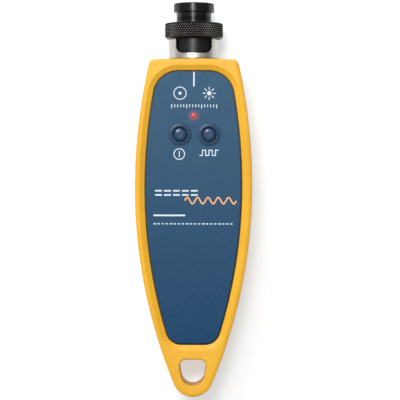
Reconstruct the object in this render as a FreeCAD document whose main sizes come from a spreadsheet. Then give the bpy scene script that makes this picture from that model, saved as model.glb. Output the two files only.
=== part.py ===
import FreeCAD, Part
import Sketcher
import math
import os

# Handheld visual fault locator, in millimetres. It lies on its back: +Y points to the
# optical port, +X to the right, +Z out of the face with the buttons. The origin is at
# mid-length on the flat back.

V = FreeCAD.Vector
os.makedirs("parts", exist_ok=True)
doc = FreeCAD.newDocument("fault_locator")

SIZES = dict(
    # outline of the case at the parting line
    half_width=23.6, widest_y=4.8, upper_arc=225.0, lower_arc=203.0,
    head_y=56.2, head_arc=300.0, head_corner=2.6, tail_y=-78.8,
    # levels through the thickness
    parting_z=13.5, front_z=26.0, axis_z=13.0, recess_z=24.0, roof_z=22.2, floor_z=2.2,
    front_draft=2.5, back_draft=3.0, crown_wide=1.3, crown_drop=0.3, front_round=0.65,
    back_round=2.0, seam=0.2,
    # tail of the back
    tail_start=-40.0, tail_curve=45.0, tail_slope=16.0,
    # face panel, its recess and the bevel round it
    panel_half=18.87, panel_top=50.55, panel_top_round=9.8,
    panel_bottom=-57.25, panel_bottom_round=5.8, panel_thick=0.95, panel_edge=0.25,
    recess_gap=0.55, bevel_wide=2.05, bevel_deep=1.0,
    # cavities
    front_cavity_half=21.6, rear_cavity_half=20.9, cavity_top=53.2, cavity_top_round=3.0,
    front_cavity_bottom=-57.5, rear_cavity_bottom=-44.6, cavity_bottom_round=4.0,
    # lanyard hole
    lanyard_y=-68.36, lanyard_low=-0.9, lanyard_low_round=4.7, lanyard_high=2.2,
    lanyard_side=2.6, lanyard_high_round=2.65, lanyard_rim=0.7,
    # buttons and indicator
    power_x=-5.4, flash_x=6.15, button_y=25.56, button_hole=2.95, button_round=2.65,
    button_flange=3.6, button_top=25.7, button_edge=1.6, collar_round=4.55,
    collar_high=0.6, collar_slope=0.85, collar_drop=0.52, collar_mouth=0.15,
    lamp_x=0.0, lamp_y=33.04, lamp_round=1.0, lamp_flange=1.6,
    # circuit board
    board_z=18.8, board_thick=1.2, board_half=13.5, board_y0=20.3, board_y1=42.5,
    post_x=11.5, post_y0=22.7, post_y1=40.1, post_round=1.9, small_screw=0.9,
    # case screws
    boss_x=14.6, boss_y=46.0, low_boss_x=8.5, low_boss_y=-51.0, boss_round=3.0,
    tower_round=3.4, screw_round=1.0, screw_free=1.25, head_round=2.3, head_hole=2.6,
    head_seat=9.5, head_thick=1.5, screw_tip=20.0,
    # battery bay and door
    bay_half=15.0, bay_y0=-39.6, bay_y1=17.6, bay_roof=17.3, bay_top=18.5,
    bay_out_top=16.5, bay_out_bottom=15.9, bay_wall=1.6,
    door_half=15.4, door_gap=0.3, door_in=1.95, door_out=0.15, door_y0=-41.5,
    hinge_y=18.6, hinge_z=1.05, hinge_round=0.9, pin_round=0.5, pin_hole=0.8,
    pin_half=16.2, door_corner=2.5,
    cell_round=7.25, cell_x=7.4, cell_z=9.6, cell_y0=-36.0, cell_y1=14.5,
    nub_round=2.75, nub_high=1.0, leaf_thick=0.35, leaf_z0=5.0, leaf_z1=14.5,
    # optical port, radii about the port axis
    post_round_out=10.0, post_bore=8.05, post_thread=9.45, post_neck=8.6,
    post_flange=9.8, post_top=67.85, post_step=64.0, post_web=57.6, post_in=51.0,
    neck_hole=8.75, flange_hole=9.95, window_half=7.15, window_y=58.1,
    window_round=2.9, key_gap=0.3, key_round=9.0,
    barrel_round=7.75, barrel_y0=57.8, barrel_seat=67.9, barrel_flange=9.25,
    barrel_shoulder=69.2, barrel_neck=5.25, barrel_top=76.0, barrel_mouth=0.3,
    ferrule_bore=1.265, sleeve_out=1.65, sleeve_y0=62.0, sleeve_y1=69.4,
    clip_groove=5.0, clip_y0=70.6, clip_y1=71.15, clip_out=6.2,
    nut_round=11.7, nut_bore=9.75, nut_y0=64.2, nut_y1=70.4, nut_shelf=69.3,
    nut_hole=5.75, nut_bevel=0.85, nut_edge=0.4,
    cap_round=7.0, cap_y0=70.55, cap_y1=74.8, cap_flange=8.2, cap_top=78.8,
    cap_edge=78.4, cap_bore=5.55, cap_relief=6.6, cap_relief_y=71.6, cap_roof=77.3,
    # light source behind the port
    laser_round=5.5, laser_y0=33.0, diode_round=2.8, can_round=2.35, diode_y=36.0,
    can_y=38.6, lens_round=2.0, lens_y0=41.0, lens_y1=43.5, stub_round=0.9,
    stub_y0=46.0, stub_y1=61.5,
)

sheet = doc.addObject("Spreadsheet::Sheet", "Params")
for row, (name, size) in enumerate(SIZES.items(), 1):
    sheet.set("A%d" % row, name)
    sheet.set("B%d" % row, repr(float(size)))
    sheet.setAlias("B%d" % row, name)
doc.recompute()


class Size:
    """A number together with the sheet formula it comes from."""

    def __init__(self, value, text):
        self.value, self.text = float(value), text

    def _with(self, other, sign, turned=False):
        a, b = (size_of(other), self) if turned else (self, size_of(other))
        value = {"+": lambda: a.value + b.value, "-": lambda: a.value - b.value,
                 "*": lambda: a.value * b.value, "/": lambda: a.value / b.value}[sign]()
        return Size(value, "(%s %s %s)" % (a.text, sign, b.text))

    def __add__(self, other): return self._with(other, "+")
    def __radd__(self, other): return self._with(other, "+", True)
    def __sub__(self, other): return self._with(other, "-")
    def __rsub__(self, other): return self._with(other, "-", True)
    def __mul__(self, other): return self._with(other, "*")
    def __rmul__(self, other): return self._with(other, "*", True)
    def __truediv__(self, other): return self._with(other, "/")
    def __rtruediv__(self, other): return self._with(other, "/", True)
    def __neg__(self): return Size(-self.value, "(0 - %s)" % self.text)


def size_of(x):
    if isinstance(x, Size):
        return x
    x = float(x)
    return Size(x, repr(x) if x >= 0 else "(0 - %r)" % -x)


class P:
    """The sheet's sizes by name."""


for name, size in SIZES.items():
    setattr(P, name, Size(size, "Params." + name))


def bind(thing, prop, x):
    thing.setExpression(prop, size_of(x).text)


def num(x):
    return size_of(x).value


def body(name, x=None, y=None, z=None):
    b = doc.addObject("PartDesign::Body", name)
    b.Label = name
    for prop, value in (("x", x), ("y", y), ("z", z)):
        if value is not None:
            bind(b, "Placement.Base." + prop, value)
    return b


def sketch(b, plane="XY", at=0.0):
    """A sketch on one of the body's origin planes, moved along its normal."""
    s = b.newObject("Sketcher::SketchObject", b.Name + "_sketch")
    face = [f for f in b.Origin.OriginFeatures if f.Role == plane + "_Plane"][0]
    s.AttachmentSupport = [(face, "")]
    s.MapMode = "FlatFace"
    if isinstance(at, Size) or at:
        s.AttachmentOffset = FreeCAD.Placement(V(0, 0, num(at)), FreeCAD.Rotation())
        bind(s, "AttachmentOffset.Base.z", at)
    return s


def hold(s, kind, *args):
    """Adds one constraint. A Size as last argument is bound to the sheet."""
    last = args[-1]
    if isinstance(last, Size):
        i = s.addConstraint(Sketcher.Constraint(kind, *args[:-1], last.value))
        label = "c%d" % i
        s.renameConstraint(i, label)
        s.setExpression("Constraints." + label, last.text)
    else:
        i = s.addConstraint(Sketcher.Constraint(kind, *args))
    return i


def pin(s, geo, end, x, y):
    """Holds a point at x, y from the origin."""
    x, y = size_of(x), size_of(y)
    if abs(x.value) < 1e-9:
        hold(s, "PointOnObject", geo, end, -2)
    else:
        hold(s, "DistanceX", -1, 1, geo, end, x)
    if abs(y.value) < 1e-9:
        hold(s, "PointOnObject", geo, end, -1)
    else:
        hold(s, "DistanceY", -1, 1, geo, end, y)


def polygon(s, points):
    ids = []
    for i, p in enumerate(points):
        n = points[(i + 1) % len(points)]
        ids.append(s.addGeometry(Part.LineSegment(V(num(p[0]), num(p[1]), 0), V(num(n[0]), num(n[1]), 0))))
    for i, g in enumerate(ids):
        hold(s, "Coincident", g, 2, ids[(i + 1) % len(ids)], 1)
    for g, p in zip(ids, points):
        pin(s, g, 1, *p)
    return ids


def rectangle(s, x0, y0, x1, y1):
    return polygon(s, [(x0, y0), (x1, y0), (x1, y1), (x0, y1)])


def circle(s, x, y, r):
    g = s.addGeometry(Part.Circle(V(num(x), num(y), 0), V(0, 0, 1), num(r)))
    pin(s, g, 3, x, y)
    hold(s, "Radius", g, size_of(r))
    return g


def u_outline(s, half, y0, y1, r):
    """A rectangle about the Y axis whose two lower corners are round."""
    w, low, high, rn = num(half), num(y0), num(y1), num(r)
    g = [s.addGeometry(k) for k in (
        Part.LineSegment(V(-w + rn, low, 0), V(w - rn, low, 0)), arc_of(V(w - rn, low + rn, 0), rn, V(w - rn, low, 0), V(w, low + rn, 0)),
        Part.LineSegment(V(w, low + rn, 0), V(w, high, 0)), Part.LineSegment(V(w, high, 0), V(-w, high, 0)),
        Part.LineSegment(V(-w, high, 0), V(-w, low + rn, 0)), arc_of(V(-w + rn, low + rn, 0), rn, V(-w, low + rn, 0), V(-w + rn, low, 0)))]
    for i, j in ((0, 1), (1, 2), (4, 5), (5, 0)):
        hold(s, "Tangent", g[i], 2, g[j], 1)
    hold(s, "Coincident", g[2], 2, g[3], 1)
    hold(s, "Coincident", g[3], 2, g[4], 1)
    pin(s, g[1], 3, half - r, y0 + r)
    pin(s, g[5], 3, r - half, y0 + r)
    hold(s, "Radius", g[1], size_of(r))
    hold(s, "Equal", g[1], g[5])
    pin(s, g[3], 1, half, y1)
    pin(s, g[3], 2, -half, y1)


def arc_of(c, r, p, q):
    """The arc turning left from p to q about c."""
    a, e = math.atan2(p.y - c.y, p.x - c.x), math.atan2(q.y - c.y, q.x - c.x)
    while e < a:
        e += 2 * math.pi
    return Part.ArcOfCircle(Part.Circle(c, V(0, 0, 1), r), a, e)


def out_to(c, p, r):
    return c + (p - c) * (r / (p - c).Length)


def mirrored(p):
    return V(-p.x, p.y, 0)


def case_outline(s):
    """The case's outline: eight arcs, each tangent to the next."""
    hw, wy, ru, rl = num(P.half_width), num(P.widest_y), num(P.upper_arc), num(P.lower_arc)
    hy, rh, rc, ty = num(P.head_y), num(P.head_arc), num(P.head_corner), num(P.tail_y)
    run = P.widest_y - P.tail_y
    inner = P.lower_arc - P.half_width
    tail = (P.lower_arc * P.lower_arc - inner * inner - run * run) / (2 * (P.lower_arc - run))
    rt = tail.value
    cu, cl, ch, ct = V(hw - ru, wy, 0), V(hw - rl, wy, 0), V(0, hy - rh, 0), V(0, ty + rt, 0)
    between = (cu - ch).Length
    a = ((rh - rc) ** 2 - (ru - rc) ** 2 + between ** 2) / (2 * between)
    off = math.sqrt((rh - rc) ** 2 - a * a)
    way = (cu - ch) / between
    cc = max((ch + way * a + V(-way.y, way.x, 0) * k for k in (off, -off)), key=lambda p: p.x + p.y)
    widest, head, side, end = V(hw, wy, 0), out_to(ch, cc, rh), out_to(cu, cc, ru), out_to(cl, ct, rl)
    arcs = [
        ("tail", arc_of(ct, rt, mirrored(end), end)), ("low", arc_of(cl, rl, end, widest)),
        ("up", arc_of(cu, ru, widest, side)), ("corner", arc_of(cc, rc, side, head)),
        ("head", arc_of(ch, rh, head, mirrored(head))),
        ("corner_l", arc_of(mirrored(cc), rc, mirrored(head), mirrored(side))),
        ("up_l", arc_of(mirrored(cu), ru, mirrored(side), mirrored(widest))),
        ("low_l", arc_of(mirrored(cl), rl, mirrored(widest), mirrored(end))),
    ]
    g = {n: s.addGeometry(c) for n, c in arcs}
    names = [n for n, _ in arcs]
    for i, n in enumerate(names):
        hold(s, "Tangent", g[n], 2, g[names[(i + 1) % len(names)]], 1)
    for n, r in (("low", P.lower_arc), ("up", P.upper_arc), ("corner", P.head_corner), ("head", P.head_arc), ("tail", tail)):
        hold(s, "Radius", g[n], r)
    for n in ("low", "up", "corner"):
        hold(s, "Equal", g[n], g[n + "_l"])
    hold(s, "PointOnObject", g["head"], 3, -2)
    hold(s, "PointOnObject", g["tail"], 3, -2)
    pin(s, g["up"], 1, P.half_width, P.widest_y)
    hold(s, "DistanceY", -1, 1, g["up"], 3, P.widest_y)
    hold(s, "DistanceX", g["up_l"], 2, -1, 1, P.half_width)
    hold(s, "DistanceY", -1, 1, g["up_l"], 3, P.widest_y)
    hold(s, "DistanceY", -1, 1, g["head"], 3, P.head_y - P.head_arc)


def leaf_outline(s, half, top, top_round, bottom, bottom_round):
    """A closed outline whose long sides run level with the case's, with straight ends."""
    inset = P.half_width - half
    up, low = P.upper_arc - inset, P.lower_arc - inset
    hw, wy, ru, rl = half.value, num(P.widest_y), up.value, low.value
    ty, rt, by, rb = top.value, top_round.value, bottom.value, bottom_round.value
    cu, cl = V(hw - ru, wy, 0), V(hw - rl, wy, 0)
    ct = V(cu.x + math.sqrt((ru - rt) ** 2 - (ty - rt - wy) ** 2), ty - rt, 0)
    cb = V(cl.x + math.sqrt((rl - rb) ** 2 - (by + rb - wy) ** 2), by + rb, 0)
    widest, side, end = V(hw, wy, 0), out_to(cu, ct, ru), out_to(cl, cb, rl)
    t0, b0 = V(ct.x, ty, 0), V(cb.x, by, 0)
    curves = [
        ("bottom", Part.LineSegment(mirrored(b0), b0)), ("cb", arc_of(cb, rb, b0, end)),
        ("low", arc_of(cl, rl, end, widest)), ("up", arc_of(cu, ru, widest, side)),
        ("ct", arc_of(ct, rt, side, t0)), ("top", Part.LineSegment(t0, mirrored(t0))),
        ("ct_l", arc_of(mirrored(ct), rt, mirrored(t0), mirrored(side))),
        ("up_l", arc_of(mirrored(cu), ru, mirrored(side), mirrored(widest))),
        ("low_l", arc_of(mirrored(cl), rl, mirrored(widest), mirrored(end))),
        ("cb_l", arc_of(mirrored(cb), rb, mirrored(end), mirrored(b0))),
    ]
    g = {n: s.addGeometry(c) for n, c in curves}
    names = [n for n, _ in curves]
    for i, n in enumerate(names):
        hold(s, "Tangent", g[n], 2, g[names[(i + 1) % len(names)]], 1)
    for n, r in (("low", low), ("up", up), ("ct", top_round), ("cb", bottom_round)):
        hold(s, "Radius", g[n], r)
        hold(s, "Equal", g[n], g[n + "_l"])
    pin(s, g["up"], 1, half, P.widest_y)
    hold(s, "DistanceY", -1, 1, g["up"], 3, P.widest_y)
    hold(s, "DistanceX", g["up_l"], 2, -1, 1, half)
    hold(s, "DistanceY", -1, 1, g["up_l"], 2, P.widest_y)
    hold(s, "DistanceY", -1, 1, g["up_l"], 3, P.widest_y)
    for n, y in (("top", top), ("bottom", bottom)):
        hold(s, "Horizontal", g[n])
        hold(s, "DistanceY", -1, 1, g[n], 1, y)


def hole_outline(s):
    """The lanyard hole: three rounds with tangent lines between them."""
    low_y, high_y = P.lanyard_y + P.lanyard_low, P.lanyard_y + P.lanyard_high
    rl, rh = num(P.lanyard_low_round), num(P.lanyard_high_round)
    cl, ch = V(0, low_y.value, 0), V(num(P.lanyard_side), high_y.value, 0)
    gap = ch - cl
    turn = math.atan2(gap.y, gap.x) - math.acos((rl - rh) / gap.Length)
    n = V(math.cos(turn), math.sin(turn), 0)
    low, high, top = cl + n * rl, ch + n * rh, V(ch.x, ch.y + rh, 0)
    g = [s.addGeometry(c) for c in (
        arc_of(cl, rl, mirrored(low), low), Part.LineSegment(low, high), arc_of(ch, rh, high, top),
        Part.LineSegment(top, mirrored(top)), arc_of(mirrored(ch), rh, mirrored(top), mirrored(high)),
        Part.LineSegment(mirrored(high), mirrored(low)))]
    for i in range(6):
        hold(s, "Tangent", g[i], 2, g[(i + 1) % 6], 1)
    hold(s, "Radius", g[0], P.lanyard_low_round)
    hold(s, "Radius", g[2], P.lanyard_high_round)
    hold(s, "Equal", g[2], g[4])
    pin(s, g[0], 3, 0, low_y)
    pin(s, g[2], 3, P.lanyard_side, high_y)
    pin(s, g[4], 3, -P.lanyard_side, high_y)


def feature(b, kind, **props):
    """Adds a feature, sets it and recomputes, then checks that it grew or shrank the body."""
    before = b.Shape.Volume if b.Tip is not None and not b.Shape.isNull() else 0.0
    f = b.newObject("PartDesign::" + kind, b.Name + "_" + kind.lower())
    for name, value in props.items():
        if isinstance(value, Size):
            bind(f, name, value)
            setattr(f, name, value.value)
        else:
            setattr(f, name, value)
    doc.recompute()
    if not f.isValid() or f.Shape.isNull() or not f.Shape.isValid():
        raise RuntimeError("%s did not build" % f.Name)
    grew = f.Shape.Volume - before
    if kind in ("Pad", "Revolution", "AdditivePipe") and grew <= 0 or kind in ("Pocket", "Groove") and grew >= 0:
        raise RuntimeError("%s changed the volume by %g" % (f.Name, grew))
    return f


def pad(b, s, length, **props):
    return feature(b, "Pad", Profile=s, Length=size_of(length), **props)


def pocket(b, s, length, **props):
    return feature(b, "Pocket", Profile=s, Length=size_of(length), **props)


def turned(b, points, plane="XY", kind="Revolution"):
    """Turns a profile of (radius, height) about the body's own Y axis, or Z on the XZ plane."""
    s = sketch(b, plane)
    polygon(s, points)
    return feature(b, kind, Profile=s, ReferenceAxis=(s, ["V_Axis"]), Angle=360.0)


def picked(shape, what, test):
    return ["%s%d" % (what, i) for i, e in enumerate(getattr(shape, what + "s"), 1) if test(e)]


def level(e, z, tol=1e-4):
    return abs(e.BoundBox.ZMin - z) < tol and abs(e.BoundBox.ZMax - z) < tol


def faces_up(f):
    u0, u1, v0, v1 = f.ParameterRange
    return f.normalAt((u0 + u1) / 2, (v0 + v1) / 2)


def drafted(b, angle, neutral_z):
    """Leans the case's side faces in, away from the parting face."""
    base = b.Tip
    side = picked(base.Shape, "Face", lambda f: f.Surface.TypeId != "Part::GeomPlane")
    flat = picked(base.Shape, "Face", lambda f: level(f, num(neutral_z)))
    f = b.newObject("PartDesign::Draft", b.Name + "_draft")
    f.Base = (base, side)
    f.NeutralPlane = (base, flat)
    bind(f, "Angle", angle)
    f.Angle = angle.value
    doc.recompute()
    if f.Shape.isNull() or f.Shape.Volume > base.Shape.Volume:
        f.Reversed = True
        doc.recompute()
    if f.Shape.Volume >= base.Shape.Volume:
        raise RuntimeError("the draft leans outward")
    return f


def tail_cut(s):
    """The wedge below the rising tail of the back, seen from the side."""
    y0, r, slope = num(P.tail_start), num(P.tail_curve), math.radians(num(P.tail_slope))
    c, a = V(y0, r, 0), V(y0, 0, 0)
    b_ = V(y0 - r * math.sin(slope), r - r * math.cos(slope), 0)
    end_y, under = -86.0, -4.0
    e = V(end_y, b_.y + (b_.x - end_y) * math.tan(slope), 0)
    g = [s.addGeometry(k) for k in (
        arc_of(c, r, b_, a), Part.LineSegment(a, V(y0, under, 0)),
        Part.LineSegment(V(y0, under, 0), V(end_y, under, 0)), Part.LineSegment(V(end_y, under, 0), e),
        Part.LineSegment(e, b_))]
    for i in range(1, 4):
        hold(s, "Coincident", g[i], 2, g[i + 1], 1)
    hold(s, "Coincident", g[0], 2, g[1], 1)
    hold(s, "Tangent", g[4], 2, g[0], 1)
    pin(s, g[0], 3, P.tail_start, P.tail_curve)
    pin(s, g[1], 1, P.tail_start, 0)
    pin(s, g[2], 1, P.tail_start, under)
    pin(s, g[3], 1, end_y, under)
    hold(s, "Vertical", g[3])
    bend = Size(-b_.x, "(0 - Params.tail_start + Params.tail_curve * sin(Params.tail_slope * 1 deg))")
    hold(s, "DistanceX", g[0], 1, -1, 1, bend)


def primitive(kind, name, x=0, y=0, z=0, turn=None, **props):
    """A Part primitive with its sizes and place bound to the sheet."""
    o = doc.addObject("Part::" + kind, name)
    if turn:
        o.Placement = FreeCAD.Placement(V(), FreeCAD.Rotation(*turn))
    for axis, value in (("x", x), ("y", y), ("z", z)):
        bind(o, "Placement.Base." + axis, value)
    for prop, value in props.items():
        bind(o, prop, value)
    return o


ALONG_Y = (V(1, 0, 0), -90)


def group(name, things):
    g = doc.addObject("Part::Compound", name)
    g.Label = name
    g.Links = things
    return g


nodes = []


def done(thing):
    nodes.append(thing)
    return thing


# ---------------------------------------------------------------- front shell
front = body("front_shell")
s = sketch(front, "XY", P.parting_z)
case_outline(s)
pad(front, s, P.front_z - P.parting_z)
drafted(front, P.front_draft, P.parting_z)
rim = picked(front.Shape, "Edge", lambda e: level(e, num(P.front_z)))
feature(front, "Chamfer", Base=(front.Tip, rim), ChamferType="Two distances", Size=P.crown_drop, Size2=P.crown_wide)
low = num(P.front_z - P.crown_drop)
rim = picked(front.Shape, "Edge", lambda e: abs(e.BoundBox.ZMin - low) < 0.02 and abs(e.BoundBox.ZMax - low) < 0.02)
feature(front, "Fillet", Base=(front.Tip, rim), Radius=P.front_round)

s = sketch(front, "XY", P.front_z)
leaf_outline(s, P.panel_half + P.recess_gap, P.panel_top + P.recess_gap, P.panel_top_round + P.recess_gap,
             P.panel_bottom - P.recess_gap, P.panel_bottom_round + P.recess_gap)
pocket(front, s, P.front_z - P.recess_z)
inner_rim = picked(front.Shape, "Edge", lambda e: level(e, num(P.front_z))
                   and all(num(P.panel_bottom) - 1.0 < v.Y < num(P.panel_top) + 1.0 for v in e.Vertexes))
feature(front, "Chamfer", Base=(front.Tip, inner_rim), ChamferType="Two distances", Size=P.bevel_wide, Size2=P.bevel_deep)

s = sketch(front, "XY", P.parting_z)
leaf_outline(s, P.front_cavity_half, P.cavity_top, P.cavity_top_round, P.front_cavity_bottom, P.cavity_bottom_round)
pocket(front, s, P.roof_z - P.parting_z, Reversed=True)

s = sketch(front, "XY", P.front_z)
hole_outline(s)
pocket(front, s, P.front_z - P.parting_z)
rim = picked(front.Shape, "Edge", lambda e: level(e, num(P.front_z)) and abs(e.CenterOfMass.x) < 6.5 and -75 < e.CenterOfMass.y < -62)
feature(front, "Fillet", Base=(front.Tip, rim), Radius=P.lanyard_rim)

s = sketch(front, "XY", P.recess_z)
circle(s, P.power_x, P.button_y, P.button_hole)
circle(s, P.flash_x, P.button_y, P.button_hole)
circle(s, P.lamp_x, P.lamp_y, P.lamp_round)
pocket(front, s, P.recess_z - P.roof_z)
s = sketch(front, "XY", P.recess_z)
circle(s, P.lamp_x, P.lamp_y, P.lamp_flange)
pocket(front, s, 0.4)

board_top = P.board_z + P.board_thick
s = sketch(front, "XY", P.roof_z)
for x in (-P.post_x, P.post_x):
    for y in (P.post_y0, P.post_y1):
        circle(s, x, y, P.post_round)
pad(front, s, P.roof_z - board_top, Reversed=True)
s = sketch(front, "XY", board_top)
for x in (-P.post_x, P.post_x):
    for y in (P.post_y0, P.post_y1):
        circle(s, x, y, P.small_screw)
pocket(front, s, 2.0, Reversed=True)

s = sketch(front, "XY", P.roof_z + 0.4)
for x, y in ((P.boss_x, P.boss_y), (P.low_boss_x, P.low_boss_y)):
    for side in (-1, 1):
        circle(s, side * x, y, P.boss_round)
pad(front, s, P.roof_z + 0.4 - P.parting_z, Reversed=True)
s = sketch(front, "XY", P.parting_z)
for x, y in ((P.boss_x, P.boss_y), (P.low_boss_x, P.low_boss_y)):
    for side in (-1, 1):
        circle(s, side * x, y, P.screw_round)
pocket(front, s, P.screw_tip - P.parting_z, Reversed=True)


def moved_groove(b, points):
    """A cut turned about the port axis."""
    s = sketch(b, "XY", P.axis_z)
    polygon(s, points)
    return feature(b, "Groove", Profile=s, ReferenceAxis=(s, ["V_Axis"]), Angle=360.0)


for_port = [(0, P.post_in - 0.4), (P.flange_hole, P.post_in - 0.4), (P.flange_hole, P.cavity_top), (P.neck_hole, P.cavity_top),
            (P.neck_hole, P.head_y + 2), (0, P.head_y + 2)]
moved_groove(front, for_port)
seam = picked(front.Shape, "Edge", lambda e: level(e, num(P.parting_z)) and e.Curve.TypeId == "Part::GeomCircle" and (
    abs(e.Curve.Radius - num(P.upper_arc)) < 1e-3 or abs(e.Curve.Radius - num(P.lower_arc)) < 1e-3
    or e.BoundBox.YMin < num(P.tail_y) + 0.5))
feature(front, "Chamfer", Base=(front.Tip, seam), Size=P.seam)
done(front)

# ----------------------------------------------------------------- rear shell
rear = body("rear_shell")
s = sketch(rear, "XY", P.parting_z)
case_outline(s)
pad(rear, s, P.parting_z, Reversed=True)
drafted(rear, P.back_draft, P.parting_z)
s = sketch(rear, "YZ")
tail_cut(s)
pocket(rear, s, 80.0, Midplane=True)
back_faces = [f for f in rear.Shape.Faces if faces_up(f).z < -0.85]
perimeter = []
for i, e in enumerate(rear.Shape.Edges, 1):
    owners = sum(1 for f in back_faces for k in f.Edges if k.isSame(e))
    if owners == 1:
        perimeter.append("Edge%d" % i)
feature(rear, "Fillet", Base=(rear.Tip, perimeter), Radius=P.back_round)

s = sketch(rear, "XY", P.parting_z)
leaf_outline(s, P.rear_cavity_half, P.cavity_top, P.cavity_top_round, P.rear_cavity_bottom, P.cavity_bottom_round)
pocket(rear, s, P.parting_z - P.floor_z)

s = sketch(rear, "XY", P.floor_z - 0.4)
polygon(s, [(-P.bay_out_bottom, P.bay_y0 - P.bay_wall), (P.bay_out_bottom, P.bay_y0 - P.bay_wall),
            (P.bay_out_top, P.bay_y1 + P.bay_wall), (-P.bay_out_top, P.bay_y1 + P.bay_wall)])
pad(rear, s, P.bay_top - P.floor_z + 0.4)
s = sketch(rear, "XY", 0.0)
rectangle(s, -P.bay_half, P.bay_y0, P.bay_half, P.bay_y1)
pocket(rear, s, P.bay_roof, Reversed=True)

# room for the door, its hinge pins and a finger
s = sketch(rear, "XY", P.door_in + 0.05)
room = P.door_half + P.door_gap
u_outline(s, room, P.door_y0 - P.door_gap, P.hinge_y + P.hinge_round + P.door_gap, P.door_corner + P.door_gap)
pocket(rear, s, P.door_in + 0.05 + 1)
s = sketch(rear, "YZ")
circle(s, P.hinge_y, P.hinge_z, P.pin_hole)
pocket(rear, s, 2 * P.pin_half + 0.6, Midplane=True)
s = sketch(rear, "XZ", 0.0)
polygon(s, [(-5, -1), (5, -1), (4.2, 0.9), (-4.2, 0.9)])
s.AttachmentOffset = FreeCAD.Placement(V(0, 0, 44.2), FreeCAD.Rotation())
pocket(rear, s, 3.0)

# screw towers with sunk heads
s = sketch(rear, "XY", P.floor_z - 0.4)
for side in (-1, 1):
    circle(s, side * P.boss_x, P.boss_y, P.tower_round)
pad(rear, s, P.parting_z - P.floor_z + 0.4)
s = sketch(rear, "XY", P.head_seat)
for x, y in ((P.boss_x, P.boss_y), (P.low_boss_x, P.low_boss_y)):
    for side in (-1, 1):
        circle(s, side * x, y, P.head_hole)
pocket(rear, s, P.head_seat + 1)
s = sketch(rear, "XY", P.parting_z)
for x, y in ((P.boss_x, P.boss_y), (P.low_boss_x, P.low_boss_y)):
    for side in (-1, 1):
        circle(s, side * x, y, P.screw_free)
pocket(rear, s, P.parting_z - P.head_seat + 0.5)

# cradles under the light source
s = sketch(rear, "XY", P.floor_z - 0.4)
rectangle(s, -8.5, 35.2, 8.5, 36.8)
rectangle(s, -8.5, 46.2, 8.5, 47.8)
pad(rear, s, 10.5 - P.floor_z + 0.4)
moved_groove(rear, [(0, P.laser_y0), (P.laser_round + 0.05, P.laser_y0), (P.laser_round + 0.05, P.post_in), (0, P.post_in)])
# ways for the two battery wires through the end of the bay
s = sketch(rear, "XZ", -(P.bay_y1 + P.bay_wall + 1))
circle(s, -P.cell_x, 14.0, 0.9)
circle(s, P.cell_x, 14.0, 0.9)
pocket(rear, s, P.bay_wall + 1.5, Reversed=True)

s = sketch(rear, "XY", P.parting_z)
hole_outline(s)
pocket(rear, s, 20.0)
moved_groove(rear, for_port)
seam = picked(rear.Shape, "Edge", lambda e: level(e, num(P.parting_z)) and e.Curve.TypeId == "Part::GeomCircle" and (
    abs(e.Curve.Radius - num(P.upper_arc)) < 1e-3 or abs(e.Curve.Radius - num(P.lower_arc)) < 1e-3
    or e.BoundBox.YMin < num(P.tail_y) + 0.5))
feature(rear, "Chamfer", Base=(rear.Tip, seam), Size=P.seam)
done(rear)

# ----------------------------------------------------------------- face panel
panel = body("face_panel")
s = sketch(panel, "XY", P.recess_z)
leaf_outline(s, P.panel_half, P.panel_top, P.panel_top_round, P.panel_bottom, P.panel_bottom_round)
pad(panel, s, P.panel_thick)
panel_z = P.recess_z + P.panel_thick
edge = picked(panel.Shape, "Edge", lambda e: level(e, panel_z.value))
feature(panel, "Chamfer", Base=(panel.Tip, edge), Size=P.panel_edge)
s = sketch(panel, "XY", panel_z)
circle(s, P.power_x, P.button_y, P.collar_round)
circle(s, P.flash_x, P.button_y, P.collar_round)
pad(panel, s, P.collar_high)
collar_z = panel_z + P.collar_high
brows = picked(panel.Shape, "Edge", lambda e: level(e, collar_z.value) and e.Curve.TypeId == "Part::GeomCircle")
feature(panel, "Chamfer", Base=(panel.Tip, brows), ChamferType="Two distances", Size=P.collar_drop, Size2=P.collar_slope)
s = sketch(panel, "XY", collar_z)
circle(s, P.power_x, P.button_y, P.button_hole)
circle(s, P.flash_x, P.button_y, P.button_hole)
circle(s, P.lamp_x, P.lamp_y, P.lamp_round)
pocket(panel, s, P.collar_high + P.panel_thick)
mouths = picked(panel.Shape, "Edge", lambda e: level(e, collar_z.value) and e.Curve.TypeId == "Part::GeomCircle"
                and abs(e.Curve.Radius - num(P.button_hole)) < 1e-4)
feature(panel, "Fillet", Base=(panel.Tip, mouths), Radius=P.collar_mouth)
done(panel)

# ------------------------------------------------- buttons, plungers, switches
for name, x in (("power", P.power_x), ("flash", P.flash_x)):
    b = body(name + "_button", x, P.button_y)
    turned(b, [(0, P.roof_z - 0.6), (P.button_flange, P.roof_z - 0.6), (P.button_flange, P.roof_z - 0.15),
               (P.button_round, P.roof_z - 0.15), (P.button_round, P.button_top), (0, P.button_top)], "XZ")
    brow = picked(b.Shape, "Edge", lambda e: level(e, num(P.button_top)) and e.Curve.TypeId == "Part::GeomCircle")
    feature(b, "Fillet", Base=(b.Tip, brow), Radius=P.button_edge)
    done(b)
    b = body(name + "_plunger", x, P.button_y)
    turned(b, [(0, board_top + 0.6), (1.6, board_top + 0.6), (1.6, P.roof_z - 0.6), (0, P.roof_z - 0.6)], "XZ")
    done(b)
    b = body(name + "_switch", x, P.button_y)
    s = sketch(b, "XY", board_top)
    rectangle(s, -3, -3, 3, 3)
    circle(s, 0, 0, 1.9)
    pad(b, s, 1.0)
    corners = picked(b.Shape, "Edge", lambda e: len(e.Vertexes) == 2 and e.BoundBox.ZLength > 0.9 and e.Curve.TypeId == "Part::GeomLine"
                     and abs(e.CenterOfMass.x - num(x)) > 2.5)
    feature(b, "Chamfer", Base=(b.Tip, corners), Size=Size(0.4, "0.4"))
    done(b)

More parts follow.
